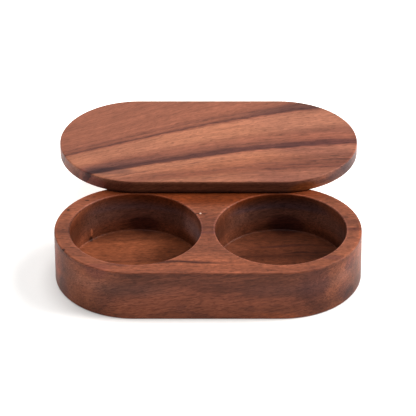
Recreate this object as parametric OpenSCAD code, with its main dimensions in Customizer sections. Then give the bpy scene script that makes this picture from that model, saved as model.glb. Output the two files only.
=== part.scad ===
// Wooden spice box: two round wells sunk in a solid block with half-round ends,
// and a flat lid that swings level about a steel pin in the middle of the rear wall.
// +X runs along the block, +Y points to the rear, +Z is up.
// The origin is the middle of the underside. Millimetres.

/* [Box] */
// Length of the block over its round ends
box_length = 180; // [130:1:260]
// Width of the block, front to rear
box_width = 95; // [70:1:120]
// Height of the block without its lid
box_height = 32; // [24:0.5:60]
// Radius of the sanded edge round the top
top_edge_radius = 0.8; // [0.3:0.1:2]
// Radius of the sanded edge round the underside
base_edge_radius = 1.2; // [0.3:0.1:3]

/* [Wells] */
// Number of round wells in a row
well_count = 2; // [1:1:3]
// Least wood left between a well and the outside
wall = 9; // [7:0.5:14]
// Least wood left between two wells
web = 8; // [5:0.5:20]
// Wood left under a well
floor_thickness = 6.5; // [4:0.5:10]
// Radius that the cutter leaves round a well's floor
floor_fillet = 0.8; // [0.4:0.1:4]
// Radius of the sanded edge round a well's mouth
mouth_radius = 0.7; // [0.3:0.1:1.5]

/* [Lid] */
// Thickness of the lid
lid_thickness = 8; // [7:0.5:14]
// Radius of the sanded edges of the lid
lid_edge_radius = 0.8; // [0.3:0.1:2]
// How far the lid is swung from closed
lid_swing = 180; // [0:1:360]

/* [Pivot] */
// Diameter of the steel pin
pin_diameter = 4; // [3:0.5:5]
// Length of pin pressed into the block
pin_grip = 16; // [10:0.5:20]
// Length of pin that stands in the lid
pin_reach = 5; // [3:0.5:5.5]
// How much tighter the block's bore is than the pin
press_squeeze = 0.02; // [0:0.01:0.05]
// Play between the pin and the lid's bore, on the diameter
pin_play = 0.1; // [0.04:0.02:0.2]
// Air left past each end of the pin
pin_end_gap = 0.5; // [0.2:0.1:1]
// Bevel on both ends of the pin
pin_bevel = 0.4; // [0.2:0.1:0.8]
// Thickness of the washer that the lid turns on
washer_thickness = 0.5; // [0.3:0.1:1.5]
// Rim of wood left bare on each side of the washer
washer_margin = 0.75; // [0.25:0.25:1.25]
// Play between the washer and the pin, on the diameter
washer_play = 0.3; // [0.1:0.1:0.6]

/* [Hidden] */
$fn = 96;

// A cut starts this far outside the wood
overcut = 1;
// Rise of a twist drill's point, whose full angle is 118 degrees
drill_point_rise = 31;

well_diameter = min(
    box_width - 2 * wall,
    (box_length - 2 * wall - (well_count - 1) * web) / well_count
);
well_depth = box_height - floor_thickness;
well_pitch = well_count > 1
    ? (box_length - 2 * wall - well_diameter) / (well_count - 1)
    : 0;

// The pin stands in the middle of the rear wall
pivot_y = box_width / 2 - wall / 2;
washer_diameter = wall - 2 * washer_margin;
lid_z = box_height + washer_thickness;
pin_foot = box_height - pin_grip;
pin_length = pin_grip + washer_thickness + pin_reach;

// Half of a board's cross section, from its middle plane out to a side with two round edges
module half_section(reach, height, low_radius, high_radius) {
    square([reach - low_radius, height]);
    square([reach - high_radius, height]);
    translate([0, low_radius])
        square([reach, height - low_radius - high_radius]);
    translate([reach - low_radius, low_radius])
        circle(r = low_radius);
    translate([reach - high_radius, height - high_radius])
        circle(r = high_radius);
}

// A board with half-round ends and eased edges, standing on z = 0
module round_ended_board(length, width, height, low_radius, high_radius) {
    straight = length - width;
    for (end = [-1, 1])
        translate([end * straight / 2, 0, 0])
            rotate([0, 0, end * 90 - 180])
                rotate_extrude(angle = 180)
                    half_section(width / 2, height, low_radius, high_radius);
    for (side = [0, 1])
        mirror([0, side, 0])
            translate([-straight / 2, 0, 0])
                rotate([90, 0, 90])
                    linear_extrude(straight)
                        half_section(width / 2, height, low_radius, high_radius);
}

// What the cutter takes out for one well, from the floor's fillet to the eased mouth
module well_cut() {
    radius = well_diameter / 2;
    rotate_extrude() {
        square([radius - floor_fillet, well_depth + overcut]);
        translate([0, floor_fillet])
            square([radius, well_depth - floor_fillet + overcut]);
        translate([radius - floor_fillet, floor_fillet])
            circle(r = floor_fillet);
        difference() {
            translate([0, well_depth - mouth_radius])
                square([radius + mouth_radius, mouth_radius + overcut]);
            translate([radius + mouth_radius, well_depth - mouth_radius])
                circle(r = mouth_radius);
        }
    }
}

// A drilled hole that ends in the drill's own point
module drilled_hole(diameter, depth) {
    point = diameter / 2 * tan(drill_point_rise);
    cylinder(d = diameter, h = depth + overcut);
    translate([0, 0, -point])
        cylinder(d1 = 0, d2 = diameter, h = point);
}

// The solid block, with its wells and the bore that grips the pin
module box_body() {
    color("#7a4530")
        difference() {
            round_ended_board(box_length, box_width, box_height, base_edge_radius, top_edge_radius);
            for (i = [0 : well_count - 1])
                translate([(i - (well_count - 1) / 2) * well_pitch, 0, floor_thickness])
                    well_cut();
            translate([0, pivot_y, pin_foot - pin_end_gap])
                drilled_hole(pin_diameter - press_squeeze, pin_grip + pin_end_gap);
        }
}

// The lid, with the blind bore that turns on the pin
module lid() {
    color("#9c5f43")
        translate([0, pivot_y, lid_z])
            rotate([0, 0, lid_swing])
                difference() {
                    translate([0, -pivot_y, 0])
                        round_ended_board(box_length, box_width, lid_thickness, lid_edge_radius, lid_edge_radius);
                    translate([0, 0, -overcut])
                        cylinder(d = pin_diameter + pin_play, h = overcut + pin_reach + pin_end_gap);
                }
}

// A plain steel dowel pin with bevelled ends
module pivot_pin() {
    radius = pin_diameter / 2;
    color("#b8babd")
        translate([0, pivot_y, pin_foot])
            rotate_extrude()
                polygon([
                    [0, 0],
                    [radius - pin_bevel, 0],
                    [radius, pin_bevel],
                    [radius, pin_length - pin_bevel],
                    [radius - pin_bevel, pin_length],
                    [0, pin_length]
                ]);
}

// The thin washer between block and lid
module pivot_washer() {
    color("#4a2a1e")
        translate([0, pivot_y, box_height])
            difference() {
                cylinder(d = washer_diameter, h = washer_thickness);
                translate([0, 0, -overcut])
                    cylinder(d = pin_diameter + washer_play, h = washer_thickness + 2 * overcut);
            }
}

box_body();
lid();
pivot_pin();
pivot_washer();
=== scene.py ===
import math

import bmesh
import bpy
from mathutils import Matrix, Vector


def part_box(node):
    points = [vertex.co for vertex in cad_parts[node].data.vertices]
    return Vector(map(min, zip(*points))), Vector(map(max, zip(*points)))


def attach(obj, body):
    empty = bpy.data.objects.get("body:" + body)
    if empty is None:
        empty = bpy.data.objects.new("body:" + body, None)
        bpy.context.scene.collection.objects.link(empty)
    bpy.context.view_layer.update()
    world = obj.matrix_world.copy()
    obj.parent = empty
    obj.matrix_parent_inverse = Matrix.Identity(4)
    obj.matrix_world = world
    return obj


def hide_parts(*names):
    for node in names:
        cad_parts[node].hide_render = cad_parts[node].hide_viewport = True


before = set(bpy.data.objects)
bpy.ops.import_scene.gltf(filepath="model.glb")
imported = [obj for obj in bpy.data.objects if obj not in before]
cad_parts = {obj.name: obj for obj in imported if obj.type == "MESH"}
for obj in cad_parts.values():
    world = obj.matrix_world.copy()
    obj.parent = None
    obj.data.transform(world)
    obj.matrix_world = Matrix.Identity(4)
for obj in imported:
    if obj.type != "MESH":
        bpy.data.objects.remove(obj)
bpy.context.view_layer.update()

bl_info = {
    "name": "Swing-Lid Spice Box",
    "version": (1, 0, 0),
    "blender": (4, 5, 0),
    "location": "View3D > Sidebar > Spice Box",
    "description": "Builds and finishes a two-well wooden spice box with a lid that swings on a pin",
    "category": "Add Mesh",
}

# A millimetre in metres
MM = 0.001
# Points closer together than this are one point
TOUCHING = 0.001 * MM
# Faces that meet at more than this many degrees keep a sharp edge between them
SHARP_ANGLE = 35
# Facets across a sanded edge, and round a bore for the pin
EDGE_STEPS = 5
BORE_STEPS = 32
# Rise of a twist drill's point, in degrees, whose full angle is 118 degrees
DRILL_POINT_RISE = 31
# Share of its reach over which a mark's tint fades out
STREAK_FADE = 0.8
PATCH_FADE = 0.5
EDGE_TINT_FADE = 0.7
# The darkest and the palest fibres, as shares of the wood's own colour
FIBRE_DARK = 0.84
FIBRE_PALE = 1.15
# Middle of the dim strip of floor, and how far from it the glow starts to rise and is full, in millimetres
DIM_MIDDLE_Y = -5.0
GLOW_STARTS = 30.0
GLOW_FULL = 72.0
# Radius of the floor, in metres, and width of the camera's sensor, in millimetres
FLOOR_RADIUS = 8
SENSOR_WIDTH = 36

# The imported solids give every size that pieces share
BLOCK_LOW, BLOCK_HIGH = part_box("box_body")
LID_LOW, LID_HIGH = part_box("lid")
PIN_LOW, PIN_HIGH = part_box("pivot_pin")

BLOCK_LENGTH = BLOCK_HIGH.x - BLOCK_LOW.x
BLOCK_WIDTH = BLOCK_HIGH.y - BLOCK_LOW.y
LID_LENGTH = LID_HIGH.x - LID_LOW.x
LID_WIDTH = LID_HIGH.y - LID_LOW.y
LID_MIDDLE_Y = (LID_HIGH.y + LID_LOW.y) / 2
PIVOT_Y = (PIN_HIGH.y + PIN_LOW.y) / 2


def linear(hex_colour):
    """Turn an sRGB hex colour into the linear RGB values that shaders use."""
    channels = [int(hex_colour[i:i + 2], 16) / 255 for i in (1, 3, 5)]
    return [c / 12.92 if c <= 0.04045 else ((c + 0.055) / 1.055) ** 2.4 for c in channels]


class SpiceBoxSizes(bpy.types.PropertyGroup):
    """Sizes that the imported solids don't give by their corners."""

    well_diameter: bpy.props.FloatProperty(
        name="Well diameter", description="Width of each round well",
        default=77 * MM, unit="LENGTH")
    well_spacing: bpy.props.FloatProperty(
        name="Well spacing", description="Distance between the middles of the two wells",
        default=85 * MM, unit="LENGTH")
    floor_thickness: bpy.props.FloatProperty(
        name="Floor thickness", description="Wood left under each well",
        default=6.5 * MM, unit="LENGTH")
    floor_fillet: bpy.props.FloatProperty(
        name="Floor fillet", description="Radius the cutter leaves round a well's floor",
        default=0.8 * MM, unit="LENGTH")
    mouth_radius: bpy.props.FloatProperty(
        name="Mouth radius", description="Radius of the sanded edge round a well's mouth",
        default=0.7 * MM, unit="LENGTH")
    top_radius: bpy.props.FloatProperty(
        name="Top edge radius", description="Radius of the sanded edge round the block's top",
        default=0.8 * MM, unit="LENGTH")
    base_radius: bpy.props.FloatProperty(
        name="Base edge radius", description="Radius of the sanded edge round the underside",
        default=1.2 * MM, unit="LENGTH")
    lid_radius: bpy.props.FloatProperty(
        name="Lid edge radius", description="Radius of the sanded edges of the lid",
        default=0.8 * MM, unit="LENGTH")
    block_bore: bpy.props.FloatProperty(
        name="Block bore", description="Diameter of the hole that grips the pin",
        default=3.98 * MM, unit="LENGTH")
    lid_bore: bpy.props.FloatProperty(
        name="Lid bore", description="Diameter of the hole that turns on the pin",
        default=4.1 * MM, unit="LENGTH")
    bore_end_gap: bpy.props.FloatProperty(
        name="Bore end gap", description="Air left past each end of the pin",
        default=0.5 * MM, unit="LENGTH")
    arc_steps: bpy.props.IntProperty(
        name="Arc steps", description="Facets round each half-round end",
        default=72, min=8, max=256)


class SpiceBoxColours(bpy.types.PropertyGroup):
    """Colours and shine of the wood, the pivot, the floor and the room."""

    lid_pale: bpy.props.FloatVectorProperty(
        name="Lid, pale wood", description="Palest growth in the lid",
        default=linear("#965E45"), subtype="COLOR", min=0, max=1)
    lid_brown: bpy.props.FloatVectorProperty(
        name="Lid, brown wood", description="Even brown of the lid's rear part",
        default=linear("#7E4A37"), subtype="COLOR", min=0, max=1)
    lid_streak: bpy.props.FloatVectorProperty(
        name="Lid, dark streak", description="Purplish brown of the lid's streaks",
        default=linear("#4E2B24"), subtype="COLOR", min=0, max=1)
    block_pale: bpy.props.FloatVectorProperty(
        name="Block, pale wood", description="Palest growth in the block",
        default=linear("#76412C"), subtype="COLOR", min=0, max=1)
    block_brown: bpy.props.FloatVectorProperty(
        name="Block, brown wood", description="Ordinary brown of the block",
        default=linear("#6A3A28"), subtype="COLOR", min=0, max=1)
    block_streak: bpy.props.FloatVectorProperty(
        name="Block, dark streak", description="Purplish brown of the block's streaks",
        default=linear("#3A1C15"), subtype="COLOR", min=0, max=1)
    steel: bpy.props.FloatVectorProperty(
        name="Pin steel", description="Ground steel of the pivot pin",
        default=linear("#C6C7C9"), subtype="COLOR", min=0, max=1)
    fibre: bpy.props.FloatVectorProperty(
        name="Washer fibre", description="Vulcanised fibre of the washer",
        default=linear("#4A2A1E"), subtype="COLOR", min=0, max=1)
    floor: bpy.props.FloatVectorProperty(
        name="Floor", description="What the floor gives back of the light that falls on it",
        default=linear("#DEDCDA"), subtype="COLOR", min=0, max=1)
    # Colour of the floor's painted glow, which keeps shadows on the floor faint
    floor_glow: bpy.props.FloatVectorProperty(
        name="Floor glow", description="Light that comes up through the floor",
        default=linear("#FFFAF5"), subtype="COLOR", min=0, max=1)
    room: bpy.props.FloatVectorProperty(
        name="Room", description="Light from all round, a little blue",
        default=linear("#E1F1FF"), subtype="COLOR", min=0, max=1)
    lid_shine: bpy.props.FloatProperty(
        name="Lid, shine", description="How strongly the oiled lid mirrors; 0.5 is bare finish",
        default=0.14, min=0, max=1)
    block_shine: bpy.props.FloatProperty(
        name="Block, shine", description="How strongly the oiled block mirrors; 0.5 is bare finish",
        default=0.12, min=0, max=1)


class SpiceBoxStage(bpy.types.PropertyGroup):
    """Camera and lights."""

    camera_distance: bpy.props.FloatProperty(
        name="Camera distance", description="From the middle of the block's top to the camera",
        default=1.9088, unit="LENGTH")
    camera_elevation: bpy.props.FloatProperty(
        name="Camera elevation", description="Angle of the camera above the horizon",
        default=0.5686, subtype="ANGLE")
    camera_azimuth: bpy.props.FloatProperty(
        name="Camera azimuth", description="How far the camera stands round to the right",
        default=0.0056, subtype="ANGLE")
    camera_pan: bpy.props.FloatProperty(
        name="Camera pan", description="How far the camera looks above the block's top",
        default=0.0063, subtype="ANGLE")
    camera_roll: bpy.props.FloatProperty(
        name="Camera roll", description="How far the picture is turned",
        default=0.0031, subtype="ANGLE")
    lens: bpy.props.FloatProperty(
        name="Lens", description="Focal length on a 36 mm sensor, in millimetres",
        default=282.5, min=10)
    key_power: bpy.props.FloatProperty(
        name="Key light", description="Power of the softbox above and to the right",
        default=43.0, unit="POWER")
    fill_power: bpy.props.FloatProperty(
        name="Fill light", description="Power of the softbox above and to the left",
        default=5.0, unit="POWER")
    top_power: bpy.props.FloatProperty(
        name="Top panel", description="Power of the wide panel overhead",
        default=17.0, unit="POWER")
    front_power: bpy.props.FloatProperty(
        name="Front light", description="Power of the weak panel high above the camera",
        default=8.5, unit="POWER")
    back_power: bpy.props.FloatProperty(
        name="Back panel", description="Power of the wide panel behind the box",
        default=11.0, unit="POWER")
    left_power: bpy.props.FloatProperty(
        name="Left panel", description="Power of the upright panel to the left of the box",
        default=4.0, unit="POWER")
    right_power: bpy.props.FloatProperty(
        name="Right panel", description="Power of the upright panel to the right of the box",
        default=6.5, unit="POWER")
    # The floor's glow is painted light: weaker in a strip beside and under the box, where the box's shadow
    # is to show
    floor_glow: bpy.props.FloatProperty(
        name="Floor glow", description="Strength of the light that comes up through the floor",
        default=0.80, min=0)
    middle_glow: bpy.props.FloatProperty(
        name="Floor glow, middle", description="Strength of that light beside and under the box",
        default=0.17, min=0)
    room: bpy.props.FloatProperty(
        name="Room light", description="Strength of the light from all round",
        default=0.13, min=0)


def add_node(tree, kind, inputs=None, stops=None, **settings):
    """Add a node. Inputs are values or sockets to link, and stops are a colour ramp's (place, colour)."""
    node = tree.nodes.new(kind)
    for name, value in settings.items():
        setattr(node, name, value)
    for socket, value in (inputs or {}).items():
        if isinstance(value, bpy.types.NodeSocket):
            tree.links.new(value, node.inputs[socket])
        else:
            node.inputs[socket].default_value = value
    for i, (place, colour) in enumerate(stops or []):
        elements = node.color_ramp.elements
        element = elements[i] if i < 2 else elements.new(place)
        element.position = place
        element.color = (*colour, 1)
    return node


def new_material(name):
    """Make an empty material and return it with its node tree."""
    material = bpy.data.materials.new(name)
    material.use_nodes = True
    material.node_tree.nodes.clear()
    return material, material.node_tree


def place_in_mm(tree):
    """Return a point's place on the piece, in millimetres."""
    position = add_node(tree, "ShaderNodeTexCoord").outputs["Object"]
    return add_node(
        tree, "ShaderNodeVectorMath", {0: position, "Scale": 1 / MM}, operation="SCALE").outputs[0]


def uneven(tree, place, size, low, high, detail=2.0, roughness=0.5):
    """A number that wanders from low to high over features of this size, in millimetres on each axis."""
    scaled = add_node(tree, "ShaderNodeVectorMath", {0: place, 1: size}, operation="DIVIDE").outputs[0]
    inputs = {"Vector": scaled, "Scale": 1.0, "Detail": detail, "Roughness": roughness}
    clouds = add_node(tree, "ShaderNodeTexNoise", inputs).outputs[0]
    # Nearly all of the noise lies between 0.3 and 0.7
    places = {"Value": clouds, "From Min": 0.3, "From Max": 0.7, "To Min": low, "To Max": high}
    return add_node(tree, "ShaderNodeMapRange", places).outputs[0]


def scattered_marks(tree, place, size, low, high, between, inside):
    """A factor with one value between marks and another inside them, where the noise is above 0.1."""
    marks = uneven(tree, place, size, low, high, 1.0)
    places = {"Value": marks, "From Min": 0.1, "To Min": between, "To Max": inside}
    return add_node(tree, "ShaderNodeMapRange", places).outputs[0]


def along_the_grain(tree, place, grain):
    """Return a point's place (along, across, through) the grain in millimetres, with the grain's bends.

    Of the grain's values, middle is the point where layers are counted from, tilt is how far they shift
    with each millimetre of height, slope and slope_past_knee are how far they climb with each millimetre
    of length, fan is how fast they spread, and waves and rags are how far they wander."""
    x, _, z = add_node(tree, "ShaderNodeSeparateXYZ", {0: place}).outputs
    # The grain climbs at one slope, then bends to another past the knee
    past_knee = add_node(tree, "ShaderNodeMath", {0: x, 1: grain["knee"]}, operation="SUBTRACT").outputs[0]
    first = add_node(
        tree, "ShaderNodeMath", {0: past_knee, 1: grain["slope"]}, operation="MULTIPLY").outputs[0]
    second = add_node(
        tree, "ShaderNodeMath", {0: past_knee, 1: grain["slope_past_knee"]},
        operation="MULTIPLY").outputs[0]
    climb = add_node(
        tree, "ShaderNodeMath", {0: first, 1: second, 2: grain["knee_blend"]},
        operation="SMOOTH_MIN").outputs[0]
    inward = add_node(
        tree, "ShaderNodeVectorMath", {0: place, 1: grain["middle"]}, operation="SUBTRACT").outputs[0]
    level = add_node(
        tree, "ShaderNodeVectorMath", {0: inward, 1: (0, 1, grain["tilt"])},
        operation="DOT_PRODUCT").outputs["Value"]
    across = add_node(tree, "ShaderNodeMath", {0: level, 1: climb}, operation="SUBTRACT").outputs[0]
    fan = add_node(
        tree, "ShaderNodeMath", {0: x, 1: grain["fan"], 2: 1.0}, operation="MULTIPLY_ADD").outputs[0]
    across = add_node(tree, "ShaderNodeMath", {0: across, 1: fan}, operation="DIVIDE").outputs[0]
    # Slow waves carry whole bands, and short ones make their edges ragged
    for size, reach in (((70.0, 40.0, 40.0), grain["waves"]), ((13.0, 2.2, 2.5), grain["rags"])):
        shift = uneven(tree, place, size, -reach, reach)
        across = add_node(tree, "ShaderNodeMath", {0: across, 1: shift}, operation="ADD").outputs[0]
    return add_node(tree, "ShaderNodeCombineXYZ", {0: x, 1: across, 2: z}).outputs[0]


def tint_spot(tree, colour, place, spot, reach, tint, fade):
    """Multiply the colour by a tint within reach of a spot on each axis, in millimetres."""
    away = add_node(tree, "ShaderNodeVectorMath", {0: place, 1: spot}, operation="SUBTRACT").outputs[0]
    scaled = add_node(tree, "ShaderNodeVectorMath", {0: away, 1: reach}, operation="DIVIDE").outputs[0]
    distance = add_node(tree, "ShaderNodeVectorMath", {0: scaled}, operation="LENGTH").outputs["Value"]
    places = {"Value": distance, "From Min": 1 - fade, "From Max": 1.0, "To Min": 1.0, "To Max": 0.0}
    inside = add_node(tree, "ShaderNodeMapRange", places, interpolation_type="SMOOTHSTEP").outputs[0]
    change = {0: inside, 1: [t - 1 for t in tint], 2: (1, 1, 1)}
    factor = add_node(tree, "ShaderNodeVectorMath", change, operation="MULTIPLY_ADD").outputs[0]
    return add_node(tree, "ShaderNodeVectorMath", {0: colour, 1: factor}, operation="MULTIPLY").outputs[0]


def edge_wear_and_painted_light(tree, colour, place, edge, reach, tint):
    """Multiply the colour by a tint on an eased edge that runs round a half-round-ended outline, for wear
    and for painted highlights and shade.

    The edge is (middle x, middle y, half the straight side, radius of the ends, height), in millimetres."""
    middle_x, middle_y, straight, radius, height = edge
    inward = add_node(
        tree, "ShaderNodeVectorMath", {0: place, 1: (middle_x, middle_y, 0)}, operation="SUBTRACT")
    x, y, z = add_node(tree, "ShaderNodeSeparateXYZ", {0: inward.outputs[0]}).outputs
    along = add_node(tree, "ShaderNodeMath", {0: x}, operation="ABSOLUTE").outputs[0]
    past_straight = add_node(
        tree, "ShaderNodeMath", {0: along, 1: straight}, operation="SUBTRACT").outputs[0]
    past_straight = add_node(
        tree, "ShaderNodeMath", {0: past_straight, 1: 0.0}, operation="MAXIMUM").outputs[0]
    flat = add_node(tree, "ShaderNodeCombineXYZ", {0: past_straight, 1: y}).outputs[0]
    out = add_node(tree, "ShaderNodeVectorMath", {0: flat}, operation="LENGTH").outputs["Value"]
    # The tint comes and goes every 5 mm or so
    shift = uneven(tree, place, (5.0, 5.0, 5.0), -0.2, 0.2)
    ragged = add_node(tree, "ShaderNodeMath", {0: out, 1: shift}, operation="ADD").outputs[0]
    section = add_node(tree, "ShaderNodeCombineXYZ", {0: ragged, 1: z}).outputs[0]
    return tint_spot(tree, colour, section, (radius, height, 0), (reach, reach, 1), tint, EDGE_TINT_FADE)


def oiled_acacia(name, grain, bands, streaks, patches, edges, shine):
    """Acacia, planed, sanded and wiped with oil.

    The eye sees a reddish brown with purplish streaks along the growth layers, fine fibres and short
    open pores along the grain, and a satin sheen where it mirrors something bright.

    Bands are (place across the grain, colour). Streaks lie along the grain and patches anywhere on the
    piece, and both are (spot, reach on each axis, tint). Edges are (edge, reach, tint). Places are in
    millimetres. Of the grain's values, lean is the angle at which the fibres rise, in radians, and figure
    is the contrast of the pattern."""
    material, tree = new_material(name)
    place = place_in_mm(tree)
    lie = along_the_grain(tree, place, grain)
    fibre = add_node(
        tree, "ShaderNodeVectorRotate", {"Vector": lie, "Angle": grain["lean"]},
        rotation_type="Y_AXIS").outputs[0]
    band = add_node(tree, "ShaderNodeSeparateXYZ", {0: lie}).outputs[1]
    low, high = bands[0][0], bands[-1][0]
    stops = [((b - low) / (high - low), colour) for b, colour in bands]
    share = add_node(
        tree, "ShaderNodeMapRange", {"Value": band, "From Min": low, "From Max": high}).outputs[0]
    layers = add_node(tree, "ShaderNodeValToRGB", {"Fac": share}, stops=stops).outputs["Color"]

    # Fibres and pores are a few tenths of a millimetre wide, and are drawn about 1 mm wide to show
    fibres = uneven(tree, fibre, (30.0, 1.0, 1.0), FIBRE_DARK, FIBRE_PALE, 3.0, 0.6)
    pores = scattered_marks(tree, fibre, (3.5, 0.8, 0.8), -1.3, 1.2, 1.0, 0.72)
    factors = [
        # Growth layers 4 mm and 0.8 mm apart
        uneven(tree, fibre, (160.0, 4.0, 40.0), 0.89, 1.09),
        uneven(tree, fibre, (90.0, 0.8, 40.0), 0.87, 1.13),
        # Clouds of darker wood, and ripples across the grain
        uneven(tree, fibre, (50.0, 12.0, 12.0), 0.90, 1.09),
        uneven(tree, fibre, (6.0, 20.0, 20.0), 0.96, 1.04, 1.0),
        # Layers show on the upright faces as slanting bands about 2 mm high
        uneven(tree, fibre, (50.0, 60.0, 2.0), 0.90, 1.10),
        # Threads of pale and dark fibre about 4 mm long, between the longer fibres
        fibres,
        uneven(tree, fibre, (4.0, 0.6, 0.6), 0.76, 1.22, 3.0, 0.6),
        pores,
        # Broken hairlines about 26 mm long follow the layers
        scattered_marks(tree, fibre, (26.0, 0.7, 1.2), -1.6, 1.4, 1.03, 0.78),
    ]
    tone = factors[0]
    for factor in factors[1:]:
        tone = add_node(tree, "ShaderNodeMath", {0: tone, 1: factor}, operation="MULTIPLY").outputs[0]
    tone = add_node(tree, "ShaderNodeMath", {0: tone, 1: grain["figure"]}, operation="POWER").outputs[0]
    colour = add_node(
        tree, "ShaderNodeVectorMath", {0: layers, "Scale": tone}, operation="SCALE").outputs[0]
    for spot, reach, tint in streaks:
        colour = tint_spot(tree, colour, lie, spot, reach, tint, STREAK_FADE)
    for spot, reach, tint in patches:
        colour = tint_spot(tree, colour, place, spot, reach, tint, PATCH_FADE)
    # Edge tints: wear, and painted highlights and shade along edges
    for edge, reach, tint in edges:
        colour = edge_wear_and_painted_light(tree, colour, place, edge, reach, tint)

    # Pale fibres are denser and take a slightly better polish
    places = {
        "Value": fibres, "From Min": FIBRE_DARK, "From Max": FIBRE_PALE, "To Min": 0.46, "To Max": 0.38,
    }
    gloss = add_node(tree, "ShaderNodeMapRange", places).outputs[0]
    relief = add_node(tree, "ShaderNodeMath", {0: fibres, 1: pores}, operation="ADD").outputs[0]
    bump = add_node(tree, "ShaderNodeBump", {"Height": relief, "Distance": 0.05 * MM, "Strength": 1.0})
    inputs = {
        "Base Color": colour, "Roughness": gloss, "IOR": 1.45, "Specular IOR Level": shine,
        "Normal": bump.outputs["Normal"],
    }
    wood = add_node(tree, "ShaderNodeBsdfPrincipled", inputs)
    add_node(tree, "ShaderNodeOutputMaterial", {"Surface": wood.outputs[0]})
    return material


def lid_wood(colours):
    """The lid's board: two dark streaks that climb to the right and flatten, pale wood between them."""
    pale, brown, streak = colours.lid_pale, colours.lid_brown, colours.lid_streak
    dusk = [(a + b) / 2 for a, b in zip(brown, streak)]
    top = LID_HIGH.z / MM
    grain = {
        "middle": (0, LID_MIDDLE_Y / MM, top), "tilt": 0.5, "slope": 0.354, "slope_past_knee": -0.406,
        "knee": 86.8, "knee_blend": 222.0, "fan": 0.0032, "waves": 0.8, "rags": 0.7, "figure": 0.8,
        "lean": 0.0,
    }
    # Millimetres across the grain, and the colour of the growth there
    bands = [
        (-30, brown), (2, pale), (6, brown), (20, pale), (23.4, pale), (25.2, brown), (26.2, streak),
        (29.6, streak), (32, dusk), (39, brown), (46, pale), (58.6, pale), (61.2, brown), (62.2, streak),
        (63.8, dusk), (66, brown), (68, dusk), (72, brown), (130, brown),
    ]
    # The upper streak widens to the right, the lower one is darkest on the left, the front is browner
    streaks = [
        ((62.0, 65.5, top), (72.0, 5.0, 30.0), (0.55, 0.60, 0.70)),
        ((-70.0, 33.0, top), (56.0, 8.5, 6.0), (0.66, 0.70, 0.84)),
        ((30.0, 10.0, top), (100.0, 18.0, 30.0), (0.86, 0.80, 0.74)),
    ]
    # Hairlines on the front part: (along, across, half length, half width)
    for along, across, length, width in (
            (10.0, 0.0, 26.0, 0.9), (28.0, 2.2, 22.0, 0.9), (41.0, 5.2, 18.0, 0.9),
            (54.0, 9.0, 16.0, 0.9), (72.0, 11.8, 26.0, 1.0), (8.0, 8.6, 28.0, 1.2),
            (34.0, 11.4, 18.0, 1.1), (60.0, 2.4, 16.0, 0.9), (73.0, 5.6, 14.0, 0.8),
            (-30.0, 10.0, 18.0, 0.9), (-44.0, 17.0, 24.0, 0.9), (-8.0, 20.0, 30.0, 0.9)):
        streaks.append(((along, across, top), (length, width, 30.0), (0.72, 0.72, 0.80)))
    patches = [
        # The round edge on the left: purplish, with the end of the dark streak in it
        ((-67.5, 45.5, 35.0), (12.0, 10.0, 5.6), (0.98, 0.68, 0.78)),
        ((-85.0, 63.0, 35.5), (13.0, 19.0, 6.0), (0.66, 0.54, 0.54)),
        ((-75.0, 51.0, 35.5), (5.0, 5.0, 7.0), (1.75, 1.45, 1.42)),
        # The round edge on the right: purplish, and orange towards the front, where the orange is painted
        # bounce light from the block's rim
        ((83.0, 62.0, 36.0), (28.0, 36.0, 5.2), (0.48, 0.52, 0.70)),
        ((86.0, 65.0, 36.0), (10.0, 16.0, 6.0), (0.72, 0.62, 0.66)),
        # Painted bounce light from the block's rim
        ((68.5, 46.0, 35.0), (8.0, 6.0, 5.6), (1.40, 1.20, 0.98)),
        ((59.0, 40.0, 34.5), (14.0, 7.0, 5.0), (1.42, 1.16, 0.62)),
        # Darker and paler wood on the top
        ((62.0, 71.0, top), (36.0, 10.0, 8.0), (0.85, 0.84, 0.88)),
        ((-59.0, 50.5, top), (18.0, 5.0, 8.0), (0.60, 0.62, 0.72)),
        ((-52.0, 74.0, top), (44.0, 18.0, 10.0), (0.88, 0.87, 0.90)),
        ((70.0, 48.0, top), (62.0, 26.0, 8.0), (0.72, 0.70, 0.78)),
        ((66.0, 110.0, top), (58.0, 24.0, 8.0), (0.84, 0.85, 0.91)),
        ((-10.0, 41.0, top), (100.0, 13.0, 6.0), (0.85, 0.83, 0.85)),
        ((76.0, 77.0, top), (44.0, 12.0, 8.0), (0.84, 0.82, 0.90)),
        ((76.0, 88.0, top), (34.0, 9.0, 8.0), (1.25, 1.20, 1.15)),
        # Painted shade on the straight front edge, which faces the dim front, darkest along its foot as a
        # painted shadow of the gap over the block
        ((0.0, 36.0, 35.0), (140.0, 30.0, 5.6), (0.51, 0.44, 0.41)),
        # Painted shadow along the foot of the front edge
        ((0.0, 38.5, 32.6), (100.0, 6.0, 2.6), (0.50, 0.50, 0.55)),
    ]
    # Both arrises are made a little paler: wear, with a painted highlight along their rounds
    half = (LID_LENGTH - LID_WIDTH) / 2 / MM
    edges = [
        ((0.0, LID_MIDDLE_Y / MM, half, LID_WIDTH / 2 / MM, height / MM), 1.0, (1.14, 1.12, 1.12))
        for height in (LID_LOW.z, LID_HIGH.z)
    ]
    return oiled_acacia(
        "oiled acacia, streaked board", grain, bands, streaks, patches, edges, colours.lid_shine)


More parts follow.
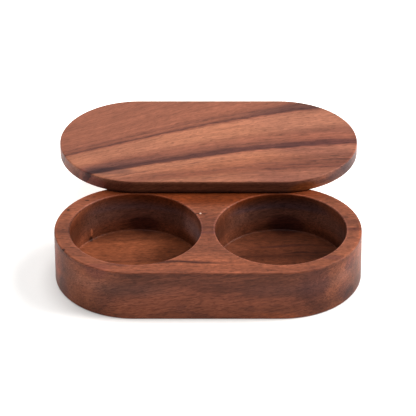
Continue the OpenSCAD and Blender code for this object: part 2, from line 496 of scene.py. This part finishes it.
def block_wood(colours, sizes):
    """The block's wood: even reddish brown with thin dark layers that slant up the front."""
    pale, brown, streak = colours.block_pale, colours.block_brown, colours.block_streak
    dusk = [(a + b) / 2 for a, b in zip(brown, streak)]
    top = BLOCK_HIGH.z / MM
    grain = {
        "middle": (0, 0, top), "tilt": 0.2, "slope": 0.06, "slope_past_knee": 0.05,
        "knee": 0.0, "knee_blend": 10.0, "fan": 0.001, "waves": 2.0, "rags": 0.7, "figure": 1.0,
        "lean": 0.18,
    }
    bands = [
        (-60, pale), (-53, brown), (-50, pale), (-47, dusk), (-43, brown), (-36, pale), (-30, pale),
        (-20, brown), (-8, pale), (1, brown), (3, dusk), (5, brown), (16, pale), (24, pale), (34, brown),
        (60, brown),
    ]
    dark, purple, hole = (0.40, 0.40, 0.48), (0.70, 0.70, 0.88), (0.28, 0.28, 0.30)
    streaks = [
        # A dark layer in front of the web, a purple one over it and one at the right end
        ((-17.0, -34.0, top), (48.0, 2.0, 9.0), (0.30, 0.28, 0.34)),
        ((-45.0, -34.5, top), (22.0, 3.5, 9.0), purple),
        ((0.0, -3.0, top), (24.0, 3.0, 12.0), purple),
        ((87.0, -4.2, top), (13.0, 2.6, 5.0), (0.56, 0.52, 0.60)),
        # Two pale and two dark layers that slant up the front
        ((12.0, -53.2, 8.0), (26.0, 0.5, 12.0), (1.35, 1.22, 0.95)),
        ((44.0, -51.4, 8.0), (34.0, 0.5, 12.0), (1.35, 1.22, 0.95)),
        ((28.0, -50.4, 14.0), (22.0, 0.5, 12.0), (0.72, 0.74, 0.84)),
        ((-6.0, -52.4, 8.0), (28.0, 0.6, 12.0), (0.74, 0.76, 0.86)),
        # Dark layers in the right well's floor
        ((58.0, 5.6, 6.5), (20.0, 1.5, 4.0), dark),
        ((45.0, 14.0, 6.5), (30.0, 2.0, 4.0), purple),
    ]
    patches = [
        # Painted shade along the rear by the lid's edge: darker and warmer, as the lid shades the rim and
        # hides its sheen; the top is paler on the left end and along the front
        ((0.0, 44.0, top), (98.0, 24.0, 10.0), (0.88, 0.58, 0.30)),
        ((-78.0, 26.0, top), (13.0, 22.0, 6.0), (1.26, 1.24, 1.20)),
        ((0.0, -43.0, top), (80.0, 14.0, 6.0), (1.10, 1.06, 1.02)),
        # Orange wood in the left well's floor, dark in the right one's
        ((-42.5, 0.0, 6.5), (60.0, 60.0, 9.0), (1.12, 1.05, 0.90)),
        ((51.0, 0.0, 6.5), (56.0, 60.0, 9.0), (0.47, 0.43, 0.40)),
        # Painted shadow of the wall between the wells on the right part of the left well's floor
        ((-12.0, 4.0, 6.5), (28.0, 44.0, 9.0), (0.60, 0.56, 0.50)),
        # Painted reflection: the wells' walls are tinted grey-blue
        ((-42.5, 0.0, 20.0), (60.0, 60.0, 11.0), (0.90, 1.28, 1.80)),
        ((42.5, 0.0, 20.0), (60.0, 60.0, 11.0), (0.98, 1.34, 1.85)),
        # Painted shade on the walls on the left, which face the key light
        ((-77.0, 0.0, 20.0), (18.0, 36.0, 13.0), (0.56, 0.42, 0.31)),
        ((12.0, 0.0, 20.0), (18.0, 36.0, 13.0), (0.54, 0.41, 0.30)),
        # Painted light on the left well's right wall
        ((-9.0, 4.0, 20.0), (12.0, 34.0, 13.0), (1.55, 1.95, 2.50)),
        # More painted reflection at the top of the rear walls, darker in the right well
        ((-42.5, 36.0, 26.0), (46.0, 24.0, 5.6), (0.88, 1.08, 1.45)),
        ((42.5, 36.0, 26.0), (46.0, 24.0, 5.6), (0.64, 0.84, 1.30)),
        # Painted shade at the foot of the rear walls
        ((47.0, 38.5, 11.0), (15.0, 9.0, 8.0), (0.45, 0.40, 0.50)),
        ((-38.0, 38.5, 11.0), (13.0, 9.0, 7.0), (0.50, 0.45, 0.55)),
        # Painted light low on the front, a little redder
        ((10.0, -47.5, 10.0), (90.0, 12.0, 22.0), (1.05, 0.98, 0.98)),
        # Cloudy wood on the right end, with painted light on its outer face, which faces the key light
        ((79.3, -30.0, 22.0), (8.0, 8.0, 8.0), (1.20, 1.24, 1.28)),
        ((84.0, -10.0, 16.0), (20.0, 40.0, 24.0), (0.86, 0.88, 0.92)),
        ((64.0, -43.5, 22.0), (18.0, 8.0, 14.0), (0.62, 0.60, 0.72)),
        # Painted light on the end's outer face
        ((90.0, -8.0, 20.0), (5.0, 24.0, 18.0), (1.30, 1.20, 1.08)),
        ((82.5, -26.0, 25.0), (8.0, 6.0, 6.0), purple),
        ((72.1, -31.0, top), (8.0, 3.0, 6.0), purple),
        ((82.0, -26.0, 2.0), (7.0, 9.0, 9.0), (0.58, 0.58, 0.74)),
        # Painted light high on the end
        ((86.0, -20.0, 27.0), (8.0, 14.0, 7.0), (1.45, 1.40, 1.32)),
        ((79.0, -30.0, 9.0), (8.0, 8.0, 8.0), (0.80, 0.82, 1.0)),
        ((80.0, -22.0, top), (10.0, 12.0, 3.0), (1.25, 1.28, 1.26)),
        # Cloudy wood on the left end
        ((-84.5, -22.0, 6.0), (7.0, 9.0, 9.0), purple),
        ((-65.2, -41.7, 30.0), (13.0, 6.0, 7.0), (0.86, 0.82, 0.98)),
        ((-88.0, -15.0, 18.0), (6.0, 12.0, 12.0), (1.62, 1.34, 1.17)),
        ((-71.3, -37.8, 20.0), (9.0, 9.0, 9.0), (1.22, 1.20, 1.16)),
        # The web, and a split in it with a bright chip
        ((0.0, 2.0, top), (10.0, 22.0, 6.0), (0.86, 0.84, 0.90)),
        ((-6.6, 16.4, top), (2.6, 0.9, 1.5), hole),
        ((-2.2, 16.2, top), (2.6, 0.7, 1.5), hole),
        ((-4.6, 16.6, top), (0.8, 0.9, 1.0), (3.4, 8.0, 13.0)),
        # Specks on the rim, and one in the left well with a pale tear above it
        ((-71.8, 31.0, top), (1.6, 1.0, 1.5), hole),
        ((-82.5, 20.3, top), (1.2, 1.3, 1.5), hole),
        ((-83.7, -22.7, top), (1.4, 1.7, 1.5), hole),
        ((-70.0, 26.8, 7.5), (1.8, 1.8, 2.2), hole),
        ((-69.3, 27.6, 11.5), (1.0, 1.2, 3.5), (2.2, 2.2, 2.0)),
    ]
    half = (BLOCK_LENGTH - BLOCK_WIDTH) / 2 / MM
    reach = BLOCK_WIDTH / 2 / MM
    well_x = sizes.well_spacing / 2 / MM
    well_reach = sizes.well_diameter / 2 / MM
    # Painted highlight on the wells' mouths
    painted_mouth_highlight = (1.38, 1.48, 1.75)
    edges = [
        # A painted highlight on the top side of the outer arris, with a line of painted shade just under it
        ((0.0, 0.0, half, reach - 1.0, top), 1.2, (1.20, 1.18, 1.16)),
        ((0.0, 0.0, half, reach + 0.8, top - 1.8), 2.0, (0.76, 0.74, 0.75)),
        # The wells' mouths get a painted highlight, and a smaller circle inside the left one paints shade
        # on its left side
        ((-well_x, 0.0, 0.0, well_reach, top), 1.3, painted_mouth_highlight),
        ((well_x, 0.0, 0.0, well_reach, top), 1.3, painted_mouth_highlight),
        ((-well_x - 3.0, 0.0, 0.0, well_reach - 3.0, top - 0.3), 1.3, (0.44, 0.42, 0.40)),
    ]
    return oiled_acacia(
        "oiled acacia, solid block", grain, bands, streaks, patches, edges, colours.block_shine)


def ground_steel(colours):
    """Carbon steel rod, centreless ground: fine rings round the pin and a tight bright sheen."""
    material, tree = new_material("ground carbon steel")
    place = place_in_mm(tree)
    # Grinding rings 0.15 mm apart along the axis
    bright = uneven(tree, place, (8.0, 8.0, 0.15), 0.88, 1.0, 1.0)
    roughness = uneven(tree, place, (8.0, 8.0, 0.15), 0.34, 0.24, 1.0)
    colour = add_node(
        tree, "ShaderNodeVectorMath", {0: list(colours.steel), "Scale": bright},
        operation="SCALE").outputs[0]
    inputs = {"Base Color": colour, "Metallic": 1.0, "Roughness": roughness}
    metal = add_node(tree, "ShaderNodeBsdfPrincipled", inputs)
    add_node(tree, "ShaderNodeOutputMaterial", {"Surface": metal.outputs[0]})
    return material


def vulcanised_fibre(colours):
    """Pressed and hardened cotton paper: a dull brown sheet with a faint cloudy speckle."""
    material, tree = new_material("vulcanised fibre")
    # Paper fibres clump about every 0.4 mm
    speckle = uneven(tree, place_in_mm(tree), (0.4, 0.4, 0.4), 0.82, 1.15, 3.0, 0.6)
    colour = add_node(
        tree, "ShaderNodeVectorMath", {0: list(colours.fibre), "Scale": speckle},
        operation="SCALE").outputs[0]
    bump = add_node(tree, "ShaderNodeBump", {"Height": speckle, "Distance": 0.02 * MM})
    inputs = {"Base Color": colour, "Roughness": 0.7, "Normal": bump.outputs["Normal"]}
    fibre = add_node(tree, "ShaderNodeBsdfPrincipled", inputs)
    add_node(tree, "ShaderNodeOutputMaterial", {"Surface": fibre.outputs[0]})
    return material


def opal_acrylic(colours, glow, middle_glow):
    """Opal acrylic floor with a painted glow: matt and white, and its glow keeps shadows on it faint."""
    material, tree = new_material("opal acrylic, with painted glow")
    place = place_in_mm(tree)
    # The sheet's matt face has a texture about 2 mm across
    shade = uneven(tree, place, (2.0, 2.0, 2.0), 0.99, 1.0, 1.0)
    colour = add_node(
        tree, "ShaderNodeVectorMath", {0: list(colours.floor), "Scale": shade},
        operation="SCALE").outputs[0]
    # Painted glow: the floor glows less in a strip beside and under the box, so that the box's shadow shows
    # at its left, and more in front and behind, so that other shadows there wash out
    depth = add_node(tree, "ShaderNodeSeparateXYZ", {0: place}).outputs[1]
    off_middle = add_node(
        tree, "ShaderNodeMath", {0: depth, 1: DIM_MIDDLE_Y}, operation="SUBTRACT").outputs[0]
    off_middle = add_node(tree, "ShaderNodeMath", {0: off_middle}, operation="ABSOLUTE").outputs[0]
    places = {
        "Value": off_middle, "From Min": GLOW_STARTS, "From Max": GLOW_FULL,
        "To Min": middle_glow, "To Max": glow,
    }
    strength = add_node(tree, "ShaderNodeMapRange", places, interpolation_type="SMOOTHSTEP").outputs[0]
    inputs = {
        "Base Color": colour, "Roughness": 0.9, "Specular IOR Level": 0.0,
        "Emission Color": (*colours.floor_glow, 1), "Emission Strength": strength,
    }
    sheet = add_node(tree, "ShaderNodeBsdfPrincipled", inputs)
    add_node(tree, "ShaderNodeOutputMaterial", {"Surface": sheet.outputs[0]})
    return material


def add_chain(bm, points):
    """Add vertices joined in a row, and return them with their edges."""
    verts = [bm.verts.new(p) for p in points]
    edges = [bm.edges.new(pair) for pair in zip(verts, verts[1:])]
    return verts, edges


def quarter_turn(centre, radius, start):
    """Points (reach, height) of a quarter circle, from the angle start in degrees."""
    angles = [math.radians(start + 90 * i / EDGE_STEPS) for i in range(EDGE_STEPS + 1)]
    return [(centre[0] + radius * math.cos(a), centre[1] + radius * math.sin(a)) for a in angles]


def spin(bm, geometry, centre, angle, steps, merge=False):
    """Turn geometry about an upright axis, and return the vertices and edges at the end of the turn."""
    made = bmesh.ops.spin(
        bm, geom=geometry, cent=centre, axis=(0, 0, 1), dvec=(0, 0, 0), angle=angle, steps=steps,
        use_merge=merge, use_duplicate=False)
    return made["geom_last"]


def draw_out(bm, geometry, shift):
    """Draw a profile straight along shift, and return the vertices and edges at the far end."""
    edges = [e for e in geometry if isinstance(e, bmesh.types.BMEdge)]
    made = bmesh.ops.extrude_edge_only(bm, edges=edges)["geom"]
    verts = [v for v in made if isinstance(v, bmesh.types.BMVert)]
    bmesh.ops.translate(bm, verts=verts, vec=shift)
    edges = [e for e in made if isinstance(e, bmesh.types.BMEdge) and all(v in verts for v in e.verts)]
    return verts + edges


def wrap_board(bm, length, width, middle_y, low, high, low_radius, high_radius, steps):
    """Carry a rounded side profile round a board with half-round ends, leaving top and underside open."""
    reach = width / 2
    straight = length - width
    profile = quarter_turn((reach - low_radius, low + low_radius), low_radius, -90)
    profile += quarter_turn((reach - high_radius, high - high_radius), high_radius, 0)
    points = [(straight / 2, middle_y - r, z) for r, z in profile]
    verts, edges = add_chain(bm, points)
    end = spin(bm, verts + edges, (straight / 2, middle_y, 0), math.pi, steps)
    end = draw_out(bm, end, (-straight, 0, 0))
    end = spin(bm, end, (-straight / 2, middle_y, 0), math.pi, steps)
    draw_out(bm, end, (straight, 0, 0))
    bmesh.ops.remove_doubles(bm, verts=bm.verts, dist=TOUCHING)


def lathe(bm, profile, centre, steps):
    """Turn a profile of (reach, height) points all the way round an upright axis."""
    verts, edges = add_chain(bm, [(centre[0] + r, centre[1], z) for r, z in profile])
    spin(bm, verts + edges, (centre[0], centre[1], 0), 2 * math.pi, steps, merge=True)
    bmesh.ops.remove_doubles(bm, verts=bm.verts, dist=TOUCHING)


def close_level(bm, height):
    """Fill the open loops at one height with a flat face that leaves their holes open."""
    edges = [e for e in bm.edges if e.is_boundary and all(abs(v.co.z - height) < TOUCHING for v in e.verts)]
    bmesh.ops.triangle_fill(bm, use_beauty=True, use_dissolve=False, edges=edges, normal=(0, 0, 1))


def finish_piece(bm, name, material, body, node):
    """Make the mesh an object, shade it smooth up to its sharp edges, and put it in the frame."""
    bmesh.ops.recalc_face_normals(bm, faces=bm.faces)
    mesh = bpy.data.meshes.new(name)
    bm.to_mesh(mesh)
    bm.free()
    mesh.shade_smooth()
    mesh.set_sharp_from_angle(angle=math.radians(SHARP_ANGLE))
    mesh.materials.append(material)
    piece = bpy.data.objects.new(name, mesh)
    bpy.context.scene.collection.objects.link(piece)
    # Flat faces keep flat shading, and the narrow sanded edges take the whole turn
    weigh = piece.modifiers.new("Flat faces stay flat", "WEIGHTED_NORMAL")
    weigh.mode = "FACE_AREA"
    weigh.weight = 100
    weigh.keep_sharp = True
    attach(piece, body)
    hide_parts(node)


class SPICE_BOX_OT_make_block(bpy.types.Operator):
    """Make the solid block with its two wells and the bore that grips the pin."""

    bl_idname = "spice_box.make_block"
    bl_label = "Make Block"

    def execute(self, context):
        sizes = context.scene.spice_box_sizes
        top = BLOCK_HIGH.z
        bm = bmesh.new()
        wrap_board(
            bm, BLOCK_LENGTH, BLOCK_WIDTH, 0, BLOCK_LOW.z, top, sizes.base_radius, sizes.top_radius,
            sizes.arc_steps)
        reach = sizes.well_diameter / 2
        mouth, fillet, floor = sizes.mouth_radius, sizes.floor_fillet, sizes.floor_thickness
        well = quarter_turn((reach + mouth, top - mouth), mouth, 90)
        well += reversed(quarter_turn((reach - fillet, floor + fillet), fillet, -90))
        well.append((0, floor))
        for side in (-1, 1):
            lathe(bm, well, (side * sizes.well_spacing / 2, 0), 2 * sizes.arc_steps)
        bore = sizes.block_bore / 2
        bottom = PIN_LOW.z - sizes.bore_end_gap
        drill_point = bore * math.tan(math.radians(DRILL_POINT_RISE))
        lathe(bm, [(bore, top), (bore, bottom), (0, bottom - drill_point)], (0, PIVOT_Y), BORE_STEPS)
        close_level(bm, top)
        close_level(bm, BLOCK_LOW.z)
        wood = block_wood(context.scene.spice_box_colours, sizes)
        finish_piece(bm, "spice_block", wood, "box", "box_body")
        return {"FINISHED"}


class SPICE_BOX_OT_make_lid(bpy.types.Operator):
    """Make the flat lid with the blind bore that turns on the pin."""

    bl_idname = "spice_box.make_lid"
    bl_label = "Make Lid"

    def execute(self, context):
        sizes = context.scene.spice_box_sizes
        edge = sizes.lid_radius
        bm = bmesh.new()
        wrap_board(
            bm, LID_LENGTH, LID_WIDTH, LID_MIDDLE_Y, LID_LOW.z, LID_HIGH.z, edge, edge, sizes.arc_steps)
        bore = sizes.lid_bore / 2
        blind_end = PIN_HIGH.z + sizes.bore_end_gap
        lathe(bm, [(bore, LID_LOW.z), (bore, blind_end), (0, blind_end)], (0, PIVOT_Y), BORE_STEPS)
        close_level(bm, LID_HIGH.z)
        close_level(bm, LID_LOW.z)
        wood = lid_wood(context.scene.spice_box_colours)
        finish_piece(bm, "swing_lid", wood, "lid", "lid")
        return {"FINISHED"}


class SPICE_BOX_OT_finish_pivot(bpy.types.Operator):
    """Give the steel pin and the fibre washer their finishes."""

    bl_idname = "spice_box.finish_pivot"
    bl_label = "Finish Pivot"

    def execute(self, context):
        colours = context.scene.spice_box_colours
        finishes = {"pivot_pin": ground_steel(colours), "pivot_washer": vulcanised_fibre(colours)}
        for node, material in finishes.items():
            for material_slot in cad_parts[node].material_slots:
                material_slot.material = material
        return {"FINISHED"}


def add_panel_light(name, centre, target, width, height, power):
    """Add a flat softbox at centre that faces target."""
    light = bpy.data.lights.new(name, "AREA")
    light.shape = "RECTANGLE"
    light.size, light.size_y = width, height
    light.energy = power
    lamp = bpy.data.objects.new(name, light)
    bpy.context.scene.collection.objects.link(lamp)
    lamp.location = centre
    lamp.rotation_euler = (Vector(target) - Vector(centre)).to_track_quat("-Z", "Y").to_euler()
    lamp.visible_camera = False


def add_camera(stage):
    """Place the camera where the photograph was taken from."""
    elevation, azimuth = stage.camera_elevation, stage.camera_azimuth
    out = math.cos(elevation)
    back = Vector((math.sin(azimuth) * out, -math.cos(azimuth) * out, math.sin(elevation)))
    target = Vector((0, 0, BLOCK_HIGH.z))
    data = bpy.data.cameras.new("camera")
    data.sensor_width = SENSOR_WIDTH
    data.lens = stage.lens
    data.clip_start, data.clip_end = 0.05, 50
    camera = bpy.data.objects.new("camera", data)
    bpy.context.scene.collection.objects.link(camera)
    camera.location = target + back * stage.camera_distance
    turn = (-back).to_track_quat("-Z", "Y").to_matrix().to_4x4()
    turn = turn @ Matrix.Rotation(stage.camera_pan, 4, "X") @ Matrix.Rotation(-stage.camera_roll, 4, "Z")
    camera.rotation_euler = turn.to_euler()
    bpy.context.scene.camera = camera


class SPICE_BOX_OT_make_stage(bpy.types.Operator):
    """Make the pale floor, the soft studio lights and the camera."""

    bl_idname = "spice_box.make_stage"
    bl_label = "Make Stage"

    def execute(self, context):
        stage = context.scene.spice_box_stage
        colours = context.scene.spice_box_colours
        bm = bmesh.new()
        bmesh.ops.create_circle(bm, cap_ends=True, segments=96, radius=FLOOR_RADIUS)
        mesh = bpy.data.meshes.new("floor")
        bm.to_mesh(mesh)
        bm.free()
        mesh.materials.append(opal_acrylic(colours, stage.floor_glow, stage.middle_glow))
        floor = bpy.data.objects.new("floor", mesh)
        context.scene.collection.objects.link(floor)

        middle = (0, 0.03, 0.03)
        # Name, place, what it faces, width and height in metres, and power
        for panel in (
                ("key softbox", (1.28, 0.15, 1.15), middle, 1.0, 1.0, stage.key_power),
                ("fill softbox", (-1.2, 0.6, 1.0), middle, 1.0, 1.0, stage.fill_power),
                ("top panel", (0, 0.3, 1.65), middle, 1.0, 0.8, stage.top_power),
                ("front panel", (-0.2, -0.9, 1.7), middle, 1.2, 0.5, stage.front_power),
                ("back panel", (0, 1.9, 0.85), (0, 0, 0.3), 3.6, 1.5, stage.back_power),
                ("left panel", (-1.7, 0.2, 0.5), middle, 1.6, 0.9, stage.left_power),
                ("right panel", (1.7, 0.2, 0.5), middle, 1.6, 0.9, stage.right_power)):
            add_panel_light(*panel)

        world = bpy.data.worlds.new("studio")
        world.use_nodes = True
        background = world.node_tree.nodes["Background"].inputs
        background["Color"].default_value = (*colours.room, 1)
        background["Strength"].default_value = stage.room
        context.scene.world = world
        context.scene.view_settings.view_transform = "Standard"
        add_camera(stage)
        return {"FINISHED"}


class VIEW3D_PT_spice_box(bpy.types.Panel):
    """Lists the box's sizes, colours, stage and operators."""

    bl_label = "Spice Box"
    bl_space_type = "VIEW_3D"
    bl_region_type = "UI"
    bl_category = "Spice Box"

    def draw(self, context):
        layout = self.layout
        for group_name, group in GROUPS.items():
            box = layout.box()
            for name in group.__annotations__:
                box.prop(getattr(context.scene, group_name), name)
        for operator in OPERATORS:
            layout.operator(operator.bl_idname)


GROUPS = {
    "spice_box_sizes": SpiceBoxSizes,
    "spice_box_colours": SpiceBoxColours,
    "spice_box_stage": SpiceBoxStage,
}
OPERATORS = (
    SPICE_BOX_OT_make_stage, SPICE_BOX_OT_make_block, SPICE_BOX_OT_make_lid, SPICE_BOX_OT_finish_pivot)


def register():
    """Make the groups, the operators and the panel known to Blender."""
    for name, group in GROUPS.items():
        bpy.utils.register_class(group)
        setattr(bpy.types.Scene, name, bpy.props.PointerProperty(type=group))
    for operator in OPERATORS:
        bpy.utils.register_class(operator)
    bpy.utils.register_class(VIEW3D_PT_spice_box)


def unregister():
    """Take them away again, in the opposite order."""
    bpy.utils.unregister_class(VIEW3D_PT_spice_box)
    for operator in reversed(OPERATORS):
        bpy.utils.unregister_class(operator)
    for name, group in reversed(GROUPS.items()):
        delattr(bpy.types.Scene, name)
        bpy.utils.unregister_class(group)


def main():
    """Register everything and build the box."""
    register()
    bpy.ops.spice_box.make_stage()
    bpy.ops.spice_box.make_block()
    bpy.ops.spice_box.make_lid()
    bpy.ops.spice_box.finish_pivot()


if __name__ == "__main__":
    main()
